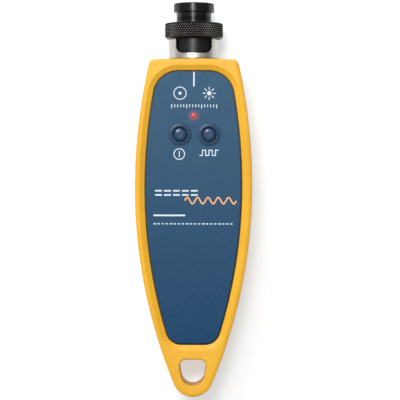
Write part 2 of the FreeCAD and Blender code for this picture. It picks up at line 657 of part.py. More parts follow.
# -------------------------------------------------------------- circuit board
board = body("circuit_board")
s = sketch(board, "XY", P.board_z)
rectangle(s, -P.board_half, P.board_y0, P.board_half, P.board_y1)
for x in (-P.post_x, P.post_x):
    for y in (P.post_y0, P.post_y1):
        circle(s, x, y, P.small_screw)
pad(board, s, P.board_thick)
done(board)

screws = []
for i, (x, y) in enumerate([(a, c) for a in (-P.post_x, P.post_x) for c in (P.post_y0, P.post_y1)]):
    head = primitive("Cylinder", "board_screw_head%d" % i, x, y, P.board_z - 1.1, Radius=P.post_round - 0.1, Height=size_of(1.1))
    shank = primitive("Cylinder", "board_screw_shank%d" % i, x, y, P.board_z - 0.2, Radius=P.small_screw, Height=P.board_thick + 1.8)
    drive = primitive("Prism", "board_screw_drive%d" % i, x, y, P.board_z - 1.2, Polygon=size_of(6), Circumradius=size_of(0.8), Height=size_of(0.7))
    whole = doc.addObject("Part::MultiFuse", "board_screw_whole%d" % i)
    whole.Shapes = [head, shank]
    cut = doc.addObject("Part::Cut", "board_screw%d" % i)
    cut.Base, cut.Tool = whole, drive
    screws.append(cut)
done(group("board_screws", screws))

chip = body("driver_chip", -9.3, 32.0)
s = sketch(chip, "XY", P.board_z)
rectangle(s, -2.0, -2.5, 2.0, 2.5)
pad(chip, s, 1.4, Reversed=True)
low_rim = picked(chip.Shape, "Edge", lambda e: level(e, num(P.board_z) - 1.4))
feature(chip, "Chamfer", Base=(chip.Tip, low_rim), Size=Size(0.3, "0.3"))
done(chip)

coil = body("boost_inductor", 9.3, 32.0)
s = sketch(coil, "XY", P.board_z)
rectangle(s, -2.5, -2.5, 2.5, 2.5)
pad(coil, s, 2.4, Reversed=True)
uprights = picked(coil.Shape, "Edge", lambda e: e.BoundBox.ZLength > 2.0)
feature(coil, "Fillet", Base=(coil.Tip, uprights), Radius=Size(0.8, "0.8"))
done(coil)

caps = []
for i, (x, y) in enumerate(((-9.8, 26.5), (-7.6, 37.0), (9.8, 26.8), (8.6, 37.2))):
    caps.append(primitive("Box", "board_capacitor%d" % i, x - 1.0, y - 0.6, P.board_z - 1.0, Length=size_of(2.0), Width=size_of(1.2), Height=size_of(1.0)))
done(group("board_capacitors", caps))

lamp = body("led_indicator", P.lamp_x, P.lamp_y)
s = sketch(lamp, "XY", board_top)
rectangle(s, -1.4, -1.75, 1.4, 1.75)
pad(lamp, s, 0.9)
done(lamp)

guide = body("led_lens", P.lamp_x, P.lamp_y)
turned(guide, [(0, board_top + 1.3), (P.lamp_round, board_top + 1.3), (P.lamp_round, P.recess_z - 0.4), (P.lamp_flange, P.recess_z - 0.4),
               (P.lamp_flange, P.recess_z), (P.lamp_round, P.recess_z), (P.lamp_round, panel_z), (P.lamp_round - 0.35, panel_z + 0.12), (0, panel_z + 0.15)], "XZ")
done(guide)

# --------------------------------------------------------------- optical port
post = body("port_post", z=P.axis_z)
turned(post, [
    (P.stub_round, P.post_in), (P.post_flange, P.post_in), (P.post_flange, P.cavity_top - 0.05), (P.post_neck, P.cavity_top - 0.05),
    (P.post_neck, P.head_y), (P.post_round_out, P.head_y), (P.post_round_out, P.post_step - 0.25), (P.post_round_out - 0.25, P.post_step),
    (P.post_thread, P.post_step), (P.post_thread, P.post_top - 0.3), (P.post_thread - 0.3, P.post_top), (P.post_bore + 0.2, P.post_top),
    (P.post_bore, P.post_top - 0.2), (P.post_bore, P.post_web), (P.stub_round, P.post_web)])
s = sketch(post, "XY", 0.0)
u_outline(s, P.window_half, P.window_y, P.post_top + 2, P.window_round)
pocket(post, s, 12.0, Reversed=True)
done(post)

stub = body("ferrule_stub", z=P.axis_z)
turned(stub, [(0, P.stub_y0), (P.stub_round, P.stub_y0), (P.stub_round, P.stub_y1 - 0.2), (P.stub_round - 0.2, P.stub_y1), (0, P.stub_y1)])
done(stub)

barrel = body("adapter_barrel", z=P.axis_z)
kw, ky = P.window_half - P.key_gap, P.window_y + 0.4
s = sketch(barrel, "XY", 0.0)
u_outline(s, kw, ky, P.barrel_seat + 0.1, P.window_round - P.key_gap)
pad(barrel, s, 9.8)
s = sketch(barrel, "XY", 0.0)
polygon(s, [(P.key_round, P.barrel_y0 - 2), (14, P.barrel_y0 - 2), (14, P.barrel_top), (P.key_round, P.barrel_top)])
feature(barrel, "Groove", Profile=s, ReferenceAxis=(s, ["V_Axis"]), Angle=360.0)
s = sketch(barrel, "XY", 0.0)
polygon(s, [
    (0, P.barrel_y0), (P.barrel_round, P.barrel_y0), (P.barrel_round, P.barrel_seat), (P.barrel_flange, P.barrel_seat),
    (P.barrel_flange, P.barrel_shoulder), (P.barrel_neck, P.barrel_shoulder), (P.barrel_neck, P.clip_y0 - 0.05), (P.clip_groove, P.clip_y0 - 0.05),
    (P.clip_groove, P.clip_y1 + 0.05), (P.barrel_neck, P.clip_y1 + 0.05), (P.barrel_neck, P.barrel_top - 0.3),
    (P.barrel_neck - 0.3, P.barrel_top), (0, P.barrel_top)])
feature(barrel, "Revolution", Profile=s, ReferenceAxis=(s, ["V_Axis"]), Angle=360.0)
s = sketch(barrel, "XY", 0.0)
polygon(s, [
    (0, P.barrel_y0 - 1), (P.sleeve_out, P.barrel_y0 - 1), (P.sleeve_out, P.sleeve_y1), (P.ferrule_bore, P.sleeve_y1),
    (P.ferrule_bore, P.barrel_top - P.barrel_mouth), (P.ferrule_bore + P.barrel_mouth, P.barrel_top),
    (P.ferrule_bore + P.barrel_mouth, P.barrel_top + 1), (0, P.barrel_top + 1)])
feature(barrel, "Groove", Profile=s, ReferenceAxis=(s, ["V_Axis"]), Angle=360.0)
done(barrel)

sleeve = body("alignment_sleeve", z=P.axis_z)
turned(sleeve, [(P.ferrule_bore, P.sleeve_y0), (P.sleeve_out, P.sleeve_y0), (P.sleeve_out, P.sleeve_y1), (P.ferrule_bore, P.sleeve_y1)])
done(sleeve)

nut = body("coupling_nut", z=P.axis_z)
turned(nut, [
    (P.nut_bore, P.nut_y0), (P.nut_round - P.nut_bevel, P.nut_y0), (P.nut_round, P.nut_y0 + P.nut_bevel), (P.nut_round, P.nut_y1 - P.nut_edge),
    (P.nut_round - P.nut_edge, P.nut_y1), (P.nut_hole, P.nut_y1), (P.nut_hole, P.nut_shelf), (P.nut_bore, P.nut_shelf)])
done(nut)

clip = body("nut_circlip", z=P.axis_z)
s = sketch(clip, "XZ", -P.clip_y0)
circle(s, 0, 0, P.clip_out)
circle(s, 0, 0, P.clip_groove)
pad(clip, s, P.clip_y1 - P.clip_y0, Reversed=True)
s = sketch(clip, "XZ", -P.clip_y0 + 1)
rectangle(s, -2.2, -8, 2.2, -2)
pocket(clip, s, 3.0)
done(clip)

cap = body("dust_cap", z=P.axis_z)
turned(cap, [
    (P.cap_relief, P.cap_y0), (P.cap_round - 0.15, P.cap_y0), (P.cap_round, P.cap_y0 + 0.15),
    (P.cap_round, 71.7), (P.cap_round - 0.2, 71.85), (P.cap_round, 72.0), (P.cap_round, 72.5), (P.cap_round - 0.2, 72.65), (P.cap_round, 72.8),
    (P.cap_round, P.cap_y1), (P.cap_flange - 0.2, P.cap_y1), (P.cap_flange, P.cap_y1 + 0.2), (P.cap_flange, P.cap_edge - 0.3),
    (P.cap_flange - 0.3, P.cap_edge), (P.cap_flange * 0.55, P.cap_top - 0.1), (0, P.cap_top), (0, P.cap_roof),
    (P.cap_bore, P.cap_roof), (P.cap_bore, P.cap_relief_y), (P.cap_relief, P.cap_relief_y)])
done(cap)

# --------------------------------------------------------------- light source
laser = body("laser_housing", z=P.axis_z)
turned(laser, [
    (P.diode_round, P.laser_y0), (P.laser_round - 0.3, P.laser_y0), (P.laser_round, P.laser_y0 + 0.3), (P.laser_round, P.post_in), (P.stub_round, P.post_in),
    (P.stub_round, P.lens_y1), (P.lens_round, P.lens_y1), (P.lens_round, P.lens_y0), (P.can_round, P.lens_y0), (P.can_round, P.diode_y), (P.diode_round, P.diode_y)])
done(laser)

diode = body("laser_diode", z=P.axis_z)
turned(diode, [(0, P.diode_y - 1.2), (P.diode_round, P.diode_y - 1.2), (P.diode_round, P.diode_y), (P.can_round, P.diode_y), (P.can_round, P.can_y), (0, P.can_y)])
done(diode)

lens = body("focusing_lens", z=P.axis_z)
turned(lens, [(0, P.lens_y0), (P.lens_round, P.lens_y0), (P.lens_round, P.lens_y1), (0, P.lens_y1)])
done(lens)

# two legs from the back of the light source up to the board
legs = []
for i, x in enumerate((-1.1, 1.1)):
    out = primitive("Cylinder", "laser_leg_out%d" % i, x, 30.0, P.axis_z, ALONG_Y, Radius=size_of(0.25), Height=P.diode_y - 1.2 - 30.0)
    up = primitive("Cylinder", "laser_leg_up%d" % i, x, 30.0, P.axis_z, Radius=size_of(0.25), Height=P.board_z - P.axis_z)
    knee = primitive("Sphere", "laser_leg_knee%d" % i, x, 30.0, P.axis_z, Radius=size_of(0.25))
    leg = doc.addObject("Part::MultiFuse", "laser_leg%d" % i)
    leg.Shapes = [out, up, knee]
    legs.append(leg)
done(group("laser_leads", legs))

# ------------------------------------------------------------ cells and wiring
for name, x, upright in (("battery_left", -P.cell_x, True), ("battery_right", P.cell_x, False)):
    b = body(name, x, None, P.cell_z)
    y0, y1, r, n, h = P.cell_y0, P.cell_y1, P.cell_round, P.nub_round, P.nub_high
    if upright:
        turned(b, [(0, y0), (r, y0), (r, y1 - h), (n, y1 - h), (n, y1), (0, y1)])
    else:
        turned(b, [(0, y0), (n, y0), (n, y0 + h), (r, y0 + h), (r, y1), (0, y1)])
    rims = picked(b.Shape, "Edge", lambda e: e.Curve.TypeId == "Part::GeomCircle" and abs(e.Curve.Radius - r.value) < 1e-4)
    feature(b, "Fillet", Base=(b.Tip, rims), Radius=Size(0.5, "0.5"))
    done(b)

t = P.leaf_thick


def leaf(x, wall, tip, way):
    """Outer and inner outline of one bowed leaf that stands on a wall plate."""
    face = wall + way * t
    outer = [(x - 4.6, face), (x - 1.0, tip), (x + 1.0, tip), (x + 4.6, face)]
    inner = [(x - 4.1, face), (x - 0.85, tip - way * t), (x + 0.85, tip - way * t), (x + 4.1, face)]
    return outer, inner


for name, x in (("positive_contact", -P.cell_x), ("negative_contact", P.cell_x)):
    b = body(name)
    s = sketch(b, "XY", P.leaf_z0)
    outer, inner = leaf(x, P.bay_y1, P.cell_y1, -1)
    polygon(s, [(x - 5.4, P.bay_y1), (x - 5.4, P.bay_y1 - t)] + outer + [(x + 5.4, P.bay_y1 - t), (x + 5.4, P.bay_y1)])
    polygon(s, inner)
    pad(b, s, P.leaf_z1 - P.leaf_z0)
    done(b)

b = body("bridge_contact")
s = sketch(b, "XY", P.leaf_z0)
left, left_in = leaf(-P.cell_x, P.bay_y0, P.cell_y0, 1)
right, right_in = leaf(P.cell_x, P.bay_y0, P.cell_y0, 1)
polygon(s, [(-13.4, P.bay_y0), (-13.4, P.bay_y0 + t)] + left + right + [(13.4, P.bay_y0 + t), (13.4, P.bay_y0)])
polygon(s, left_in)
polygon(s, right_in)
pad(b, s, P.leaf_z1 - P.leaf_z0)
done(b)

for name, x in (("battery_wire_red", -P.cell_x), ("battery_wire_black", P.cell_x)):
    b = body(name, x)
    path = sketch(b, "YZ")
    y0, z0, r, yc, z1 = num(P.bay_y1), 14.0, 1.6, 22.6, num(P.board_z)
    g = [path.addGeometry(k) for k in (
        Part.LineSegment(V(y0, z0, 0), V(yc - r, z0, 0)), arc_of(V(yc - r, z0 + r, 0), r, V(yc - r, z0, 0), V(yc, z0 + r, 0)),
        Part.LineSegment(V(yc, z0 + r, 0), V(yc, z1, 0)))]
    hold(path, "Tangent", g[0], 2, g[1], 1)
    hold(path, "Tangent", g[1], 2, g[2], 1)
    pin(path, g[0], 1, P.bay_y1, z0)
    hold(path, "Horizontal", g[0])
    pin(path, g[2], 2, yc, P.board_z)
    hold(path, "Vertical", g[2])
    hold(path, "Radius", g[1], Size(r, repr(r)))
    ring = sketch(b, "XZ", -P.bay_y1)
    circle(ring, 0, z0, 0.65)
    feature(b, "AdditivePipe", Profile=ring, Spine=(path, ["Edge1", "Edge2", "Edge3"]))
    done(b)

# ---------------------------------------------------------------- battery door
door = body("battery_door")
s = sketch(door, "XY", P.door_out)
u_outline(s, P.door_half, P.door_y0, P.hinge_y, P.door_corner)
pad(door, s, P.door_in - P.door_out)
s = sketch(door, "YZ")
circle(s, P.hinge_y, P.hinge_z, P.hinge_round)
pad(door, s, 2 * P.door_half, Midplane=True)
s = sketch(door, "YZ")
circle(s, P.hinge_y, P.hinge_z, P.pin_round)
pad(door, s, 2 * P.pin_half, Midplane=True)
# grooves of the finger grip
s = sketch(door, "XY", P.door_out)
for i in range(6):
    rectangle(s, -7.5, -38.9 + 2.0 * i, 7.5, -37.9 + 2.0 * i)
pocket(door, s, 0.45, Reversed=True)
done(door)

# ----------------------------------------------------------------- case screws
screws = []
for i, (x, y) in enumerate([(side * a, c) for a, c in ((P.boss_x, P.boss_y), (P.low_boss_x, P.low_boss_y)) for side in (-1, 1)]):
    head = primitive("Cylinder", "case_screw_head%d" % i, x, y, P.head_seat - P.head_thick, Radius=P.head_round, Height=P.head_thick)
    shank = primitive("Cylinder", "case_screw_shank%d" % i, x, y, P.head_seat - 0.3, Radius=P.screw_round, Height=P.screw_tip - P.head_seat + 0.3 - 0.2)
    slot_a = primitive("Box", "case_screw_slot_a%d" % i, x - 1.4, y - 0.28, P.head_seat - P.head_thick - 0.1, Length=size_of(2.8), Width=size_of(0.56), Height=size_of(0.9))
    slot_b = primitive("Box", "case_screw_slot_b%d" % i, x - 0.28, y - 1.4, P.head_seat - P.head_thick - 0.1, Length=size_of(0.56), Width=size_of(2.8), Height=size_of(0.9))
    whole = doc.addObject("Part::MultiFuse", "case_screw_whole%d" % i)
    whole.Shapes = [head, shank]
    cross = doc.addObject("Part::MultiFuse", "case_screw_cross%d" % i)
    cross.Shapes = [slot_a, slot_b]
    cut = doc.addObject("Part::Cut", "case_screw%d" % i)
    cut.Base, cut.Tool = whole, cross
    screws.append(cut)
done(group("shell_screws", screws))

# ------------------------------------------------------------ check and export
doc.recompute()
for o in doc.Objects:
    if "Invalid" in o.State or "Error" in o.State:
        raise RuntimeError("%s is %s" % (o.Name, o.State))
for n in nodes:
    if n.Shape.isNull() or not n.Shape.isValid() or n.Shape.Volume <= 0:
        raise RuntimeError("%s has no valid shape" % n.Label)
for n in nodes:
    n.Shape.exportStep("parts/%s.step" % n.Label)
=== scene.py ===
import math

import bmesh
import bpy
import numpy as np
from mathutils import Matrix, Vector


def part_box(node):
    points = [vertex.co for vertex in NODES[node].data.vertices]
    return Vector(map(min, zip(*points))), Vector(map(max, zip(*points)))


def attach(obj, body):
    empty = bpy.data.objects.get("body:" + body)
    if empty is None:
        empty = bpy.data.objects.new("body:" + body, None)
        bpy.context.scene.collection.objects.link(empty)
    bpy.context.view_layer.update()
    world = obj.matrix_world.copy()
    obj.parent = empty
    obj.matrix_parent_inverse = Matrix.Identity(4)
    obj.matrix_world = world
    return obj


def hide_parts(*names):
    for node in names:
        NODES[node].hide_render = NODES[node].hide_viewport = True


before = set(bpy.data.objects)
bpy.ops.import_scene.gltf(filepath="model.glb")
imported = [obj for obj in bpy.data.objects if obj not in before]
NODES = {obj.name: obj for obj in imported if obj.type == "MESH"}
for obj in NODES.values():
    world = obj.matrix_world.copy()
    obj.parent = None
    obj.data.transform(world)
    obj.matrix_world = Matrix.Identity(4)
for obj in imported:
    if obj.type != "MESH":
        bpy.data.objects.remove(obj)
bpy.context.view_layer.update()

MM = 0.001
SCENE = bpy.context.scene


# ------------------------------------------------------------------ positions
def box_mm(node):
    lo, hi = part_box(node)
    return [c / MM for c in lo], [c / MM for c in hi]


PANEL_LO, PANEL_HI = box_mm("face_panel")
NUT_LO, NUT_HI = box_mm("coupling_nut")
POST_LO, POST_HI = box_mm("port_post")
CAP_LO, CAP_HI = box_mm("dust_cap")
LAMP_LO, LAMP_HI = box_mm("led_lens")
POWER_LO, POWER_HI = box_mm("power_button")
FLASH_LO, FLASH_HI = box_mm("flash_button")
DOOR_LO, DOOR_HI = box_mm("battery_door")

AXIS_Z = (NUT_LO[2] + NUT_HI[2]) / 2            # port axis height
NUT_R = (NUT_HI[0] - NUT_LO[0]) / 2
COLLAR_TOP = PANEL_HI[2]                         # crest of the collars round the buttons
FACE_Z = COLLAR_TOP - 0.6                        # the panel's flat face
POWER = ((POWER_LO[0] + POWER_HI[0]) / 2, (POWER_LO[1] + POWER_HI[1]) / 2)
FLASH = ((FLASH_LO[0] + FLASH_HI[0]) / 2, (FLASH_LO[1] + FLASH_HI[1]) / 2)
LAMP = ((LAMP_LO[0] + LAMP_HI[0]) / 2, (LAMP_LO[1] + LAMP_HI[1]) / 2)


# ------------------------------------------------------------------ materials
def lin(r, g, b):
    def one(c):
        c = c / 255.0
        return c / 12.92 if c <= 0.04045 else ((c + 0.055) / 1.055) ** 2.4
    return (one(r), one(g), one(b), 1.0)


class Net:
    """A small helper for wiring a material's nodes."""

    def __init__(self, name):
        self.mat = bpy.data.materials.new(name)
        self.mat.use_nodes = True
        self.tree = self.mat.node_tree
        self.tree.nodes.clear()
        self.out = self.add("ShaderNodeOutputMaterial")
        self.co = None

    def add(self, kind, **fields):
        n = self.tree.nodes.new(kind)
        for k, v in fields.items():
            setattr(n, k, v)
        return n

    def link(self, a, b):
        self.tree.links.new(a, b)

    def coords(self):
        if self.co is None:
            self.co = self.add("ShaderNodeTexCoord").outputs["Object"]
        return self.co

    def split(self):
        s = self.add("ShaderNodeSeparateXYZ")
        self.link(self.coords(), s.inputs[0])
        return s.outputs

    def math(self, op, a, b=None, c=None, clamp=False):
        n = self.add("ShaderNodeMath", operation=op, use_clamp=clamp)
        for i, v in enumerate((a, b, c)):
            if v is None:
                continue
            if isinstance(v, (int, float)):
                n.inputs[i].default_value = v
            else:
                self.link(v, n.inputs[i])
        return n.outputs[0]

    def ramp(self, fac, lo, hi, a=0.0, b=1.0, smooth=True):
        n = self.add("ShaderNodeMapRange", interpolation_type="SMOOTHSTEP" if smooth else "LINEAR")
        self.link(fac, n.inputs["Value"])
        n.inputs["From Min"].default_value = lo
        n.inputs["From Max"].default_value = hi
        n.inputs["To Min"].default_value = a
        n.inputs["To Max"].default_value = b
        return n.outputs["Result"]

    def noise(self, scale, detail=2.0, rough=0.5, vector=None):
        n = self.add("ShaderNodeTexNoise")
        self.link(vector if vector is not None else self.coords(), n.inputs["Vector"])
        n.inputs["Scale"].default_value = scale
        n.inputs["Detail"].default_value = detail
        n.inputs["Roughness"].default_value = rough
        return n.outputs["Fac"]

    def stretched(self, sx, sy, sz):
        m = self.add("ShaderNodeMapping")
        m.inputs["Scale"].default_value = (sx, sy, sz)
        self.link(self.coords(), m.inputs["Vector"])
        return m.outputs["Vector"]

    def mix(self, fac, a, b, blend="MIX"):
        n = self.add("ShaderNodeMix", data_type="RGBA", blend_type=blend)
        if isinstance(fac, (int, float)):
            n.inputs["Factor"].default_value = fac
        else:
            self.link(fac, n.inputs["Factor"])
        for sock, v in (("A", a), ("B", b)):
            s = [i for i in n.inputs if i.name == sock and i.type == "RGBA"][0]
            if isinstance(v, tuple):
                s.default_value = v
            else:
                self.link(v, s)
        return [o for o in n.outputs if o.type == "RGBA"][0]

    def bump(self, height, distance, strength=1.0, normal=None):
        n = self.add("ShaderNodeBump")
        n.inputs["Strength"].default_value = strength
        n.inputs["Distance"].default_value = distance
        self.link(height, n.inputs["Height"])
        if normal is not None:
            self.link(normal, n.inputs["Normal"])
        return n.outputs["Normal"]

    def surface(self, color, rough, normal=None, metallic=0.0, specular=0.5, coat=0.0, coat_rough=0.1, emission=None,
                strength=0.0, transmission=0.0, ior=1.45, aniso=0.0, subsurface=0.0, sub_radius=(0.001, 0.0005, 0.0002)):
        b = self.add("ShaderNodeBsdfPrincipled")
        if isinstance(color, tuple):
            b.inputs["Base Color"].default_value = color
        else:
            self.link(color, b.inputs["Base Color"])
        if isinstance(rough, (int, float)):
            b.inputs["Roughness"].default_value = rough
        else:
            self.link(rough, b.inputs["Roughness"])
        if normal is not None:
            self.link(normal, b.inputs["Normal"])
        b.inputs["Metallic"].default_value = metallic
        b.inputs["Specular IOR Level"].default_value = specular
        b.inputs["Coat Weight"].default_value = coat
        b.inputs["Coat Roughness"].default_value = coat_rough
        b.inputs["IOR"].default_value = ior
        b.inputs["Transmission Weight"].default_value = transmission
        b.inputs["Anisotropic"].default_value = aniso
        if subsurface:
            b.inputs["Subsurface Weight"].default_value = subsurface
            b.inputs["Subsurface Radius"].default_value = (1.0, 0.5, 0.25)
            b.inputs["Subsurface Scale"].default_value = 0.001
        if emission is not None:
            if isinstance(emission, tuple):
                b.inputs["Emission Color"].default_value = emission
            else:
                self.link(emission, b.inputs["Emission Color"])
            if isinstance(strength, (int, float)):
                b.inputs["Emission Strength"].default_value = strength
            else:
                self.link(strength, b.inputs["Emission Strength"])
        self.link(b.outputs[0], self.out.inputs["Surface"])
        return self.mat


def yellow_plastic():
    """Moulded case plastic: even colour with a slow drift, a fine spark-eroded grain, and painted shade in the groove
    round the face panel.
    """
    n = Net("shell_yellow")
    slow = n.noise(38.0, 3.0, 0.55)
    mottled = n.noise(900.0, 2.0, 0.5)
    base = n.mix(n.ramp(slow, 0.35, 0.65), lin(217, 161, 34), lin(223, 168, 38))
    base = n.mix(n.ramp(mottled, 0.3, 0.7, 0.0, 0.35), base, lin(211, 153, 32))
    grain = n.noise(3600.0, 3.0, 0.6)
    pits = n.noise(1500.0, 1.0, 0.5)
    height = n.math("ADD", grain, n.math("MULTIPLY", pits, 0.6))
    rough = n.ramp(n.noise(420.0, 3.0, 0.6), 0.3, 0.7, 0.40, 0.50)
    # painted shade low in the groove round the face panel: walls that look inward, and the groove's floor, are painted
    # dark where shade falls
    x, y, z = n.split()
    facing = n.add("ShaderNodeSeparateXYZ")
    n.link(n.add("ShaderNodeNewGeometry").outputs["Normal"], facing.inputs[0])
    outward = n.math("ADD", n.math("MULTIPLY", facing.outputs[0], x), n.math("MULTIPLY", facing.outputs[1], n.math("ADD", y, 0.005)))
    deep = n.math("MULTIPLY", n.ramp(z, 0.02450, 0.02496, 1.0, 0.0), n.ramp(z, 0.0235, 0.0237, smooth=False))
    inward = n.math("MULTIPLY", n.math("LESS_THAN", outward, 0.0008), n.math("GREATER_THAN", y, -0.0600))
    base = n.mix(n.math("MULTIPLY", n.math("MULTIPLY", deep, inward), 0.93), base, lin(34, 26, 14))
    return n.surface(base, rough, n.bump(height, 0.000035, 0.55), specular=0.42)


def blue_overlay(name="panel_blue", satin=(0.44, 0.54), specular=0.13):
    """The printed membrane: satin, deeper toward the tail and lighter toward the head as a painted sheen, with a fine
    even tooth and a painted red glow of the lamp's light round the lamp.
    """
    n = Net(name)
    x, y, z = n.split()
    # painted sheen: the face is painted lighter toward the head, standing in for the lights' reflection
    fade = n.ramp(y, -0.058, 0.052, smooth=False)
    base = n.mix(fade, lin(10, 56, 91), lin(50, 82, 107))
    fleck = n.noise(1500.0, 2.0, 0.6)
    base = n.mix(n.ramp(fleck, 0.32, 0.68, 0.0, 0.16), base, lin(66, 95, 120))
    cloud = n.noise(60.0, 3.0, 0.6)
    base = n.mix(n.ramp(cloud, 0.35, 0.65, 0.0, 0.10), base, lin(20, 58, 90))
    grain = n.noise(4200.0, 2.0, 0.55)
    rough = n.ramp(n.noise(300.0, 3.0, 0.6), 0.3, 0.7, satin[0], satin[1])
    near = None
    for cx, cy in (POWER, FLASH):
        ex, ey = n.math("SUBTRACT", x, cx * MM), n.math("SUBTRACT", y, cy * MM)
        d = n.math("SQRT", n.math("ADD", n.math("MULTIPLY", ex, ex), n.math("MULTIPLY", ey, ey)))
        inside = n.ramp(d, 0.00458, 0.00466, 1.0, 0.0, smooth=False)
        near = inside if near is None else n.math("MAXIMUM", near, inside)
    base = n.mix(n.math("MULTIPLY", near, 0.75), base, lin(22, 54, 82))
    # painted glow: the lamp's red light painted on the face as emission round the lamp
    dx = n.math("SUBTRACT", x, LAMP[0] * MM)
    dy = n.math("SUBTRACT", y, LAMP[1] * MM)
    d2 = n.math("ADD", n.math("MULTIPLY", dx, dx), n.math("MULTIPLY", dy, dy))
    glow = n.math("POWER", 2.718, n.math("MULTIPLY", d2, -1.0 / (0.00135 ** 2)))
    return n.surface(base, rough, n.bump(grain, 0.00002, 0.4), specular=specular,
                     emission=lin(226, 60, 52), strength=n.math("MULTIPLY", glow, 0.7))


def key_rubber():
    n = Net("button_blue")
    tone = n.noise(700.0, 3.0, 0.6)
    base = n.mix(n.ramp(tone, 0.3, 0.7), lin(20, 54, 86), lin(26, 60, 93))
    rough = n.ramp(n.noise(900.0, 2.0, 0.5), 0.3, 0.7, 0.14, 0.17)
    return n.surface(base, rough, n.bump(n.noise(5200.0, 2.0, 0.5), 0.00001, 0.3), specular=0.85)


def black_metal(name="metal_black", tone=8, rough=(0.28, 0.36), lines=9000.0, depth=0.00003, specular=0.40, crest=0.0):
    """Black anodised metal with fine turning lines round the port axis. crest is the radius in millimetres past which
    the surface is painted pale, as painted glints on the knurl's crests."""
    n = Net(name)
    x, y, z = n.split()
    radius = n.math("SQRT", n.math("ADD", n.math("POWER", x, 2.0), n.math("POWER", n.math("SUBTRACT", z, AXIS_Z * MM), 2.0)))
    ring = n.add("ShaderNodeCombineXYZ")
    n.link(n.math("ADD", y, n.math("MULTIPLY", radius, 0.37)), ring.inputs[0])
    n.link(n.math("MULTIPLY", radius, 0.6), ring.inputs[1])
    fine = n.noise(lines, 2.0, 0.6, ring.outputs[0])
    coarse = n.noise(lines * 0.22, 2.0, 0.5, ring.outputs[0])
    smudge = n.noise(260.0, 3.0, 0.6)
    base = n.mix(n.ramp(fine, 0.3, 0.7), lin(tone - 4, tone - 4, tone - 3), lin(tone + 7, tone + 7, tone + 8))
    base = n.mix(n.ramp(smudge, 0.45, 0.75, 0.0, 0.25), base, lin(tone + 16, tone + 15, tone + 14))
    if crest:
        # painted highlight: crests past the given radius are painted pale to stand in for glints
        crest_glint = n.ramp(radius, (crest - 0.10) * MM, crest * MM)
        base = n.mix(n.math("MULTIPLY", crest_glint, n.ramp(smudge, 0.3, 0.7, 0.75, 1.0)), base, lin(168, 165, 162))
    height = n.math("ADD", n.math("MULTIPLY", fine, 0.6), n.math("MULTIPLY", coarse, 0.8))
    r = n.ramp(smudge, 0.3, 0.7, rough[0], rough[1])
    return n.surface(base, r, n.bump(height, depth, 0.8), specular=specular)


def bright_metal(name, color, rough=(0.12, 0.2), lines=3000.0, depth=0.000004, along="y"):
    """Turned and polished metal."""
    n = Net(name)
    vector = n.stretched(0.04, 1.0, 0.04) if along == "y" else n.stretched(1.0, 0.04, 1.0)
    fine = n.noise(lines, 2.0, 0.6, vector)
    smudge = n.noise(170.0, 3.0, 0.6)
    dark = tuple(c * 0.84 for c in color[:3]) + (1.0,)
    base = n.mix(n.ramp(smudge, 0.3, 0.7), dark, color)
    r = n.ramp(n.math("ADD", n.math("MULTIPLY", fine, 0.5), n.math("MULTIPLY", smudge, 0.5)), 0.3, 0.7, rough[0], rough[1])
    return n.surface(base, r, n.bump(fine, depth, 0.5), metallic=1.0)


def plain_plastic(name, a, b, rough=(0.35, 0.5), scale=600.0, grain=0.00001, specular=0.45):
    n = Net(name)
    tone = n.noise(scale, 3.0, 0.6)
    base = n.mix(n.ramp(tone, 0.3, 0.7), a, b)
    return n.surface(base, n.ramp(tone, 0.3, 0.7, rough[0], rough[1]), n.bump(n.noise(scale * 6, 2.0, 0.5), grain, 0.4), specular=specular)


def board_mask():
    """Solder mask with buried tracks showing through as lighter lines."""
    n = Net("board_mask")
    x, y, z = n.split()
    bricks = n.add("ShaderNodeTexBrick")
    n.link(n.coords(), bricks.inputs["Vector"])
    bricks.inputs["Scale"].default_value = 420.0
    bricks.inputs["Mortar Size"].default_value = 0.035
    bricks.inputs["Mortar Smooth"].default_value = 0.2
    track = n.ramp(bricks.outputs["Fac"], 0.2, 0.8)
    base = n.mix(track, lin(12, 74, 44), lin(36, 112, 66))
    base = n.mix(n.ramp(n.noise(500.0), 0.3, 0.7, 0.0, 0.3), base, lin(8, 58, 36))
    return n.surface(base, 0.32, n.bump(track, 0.00002, 0.5), specular=0.5)


def jacket(name, plus_y, minus_y):
    """A dry cell: bare steel ends, a dark sleeve and a copper-coloured band at the positive end."""
    n = Net(name)
    x, y, z = n.split()
    away = n.math("MULTIPLY", n.math("SUBTRACT", y, plus_y * MM), 1.0 if minus_y > plus_y else -1.0)   # metres from the positive end
    grain = n.noise(1800.0, 2.0, 0.6)
    sleeve = n.mix(n.ramp(grain, 0.3, 0.7), lin(30, 34, 42), lin(38, 43, 52))
    copper = n.mix(n.ramp(grain, 0.3, 0.7), lin(196, 118, 60), lin(214, 138, 78))
    steel = n.mix(n.ramp(grain, 0.3, 0.7), lin(168, 168, 170), lin(196, 196, 198))
    band = n.math("LESS_THAN", away, 0.0135)
    base = n.mix(band, sleeve, copper)
    line = n.math("MULTIPLY", n.math("GREATER_THAN", away, 0.0145), n.math("LESS_THAN", away, 0.0151))
    base = n.mix(line, base, copper)
    ends = n.math("ADD", n.math("LESS_THAN", away, 0.0017), n.math("GREATER_THAN", away, 0.0498), clamp=True)
    base = n.mix(ends, base, steel)
    rough = n.ramp(n.noise(400.0), 0.3, 0.7, 0.22, 0.34)
    return n.surface(base, rough, n.bump(n.noise(2600.0), 0.000004, 0.4), specular=0.6, coat=0.35, coat_rough=0.12)


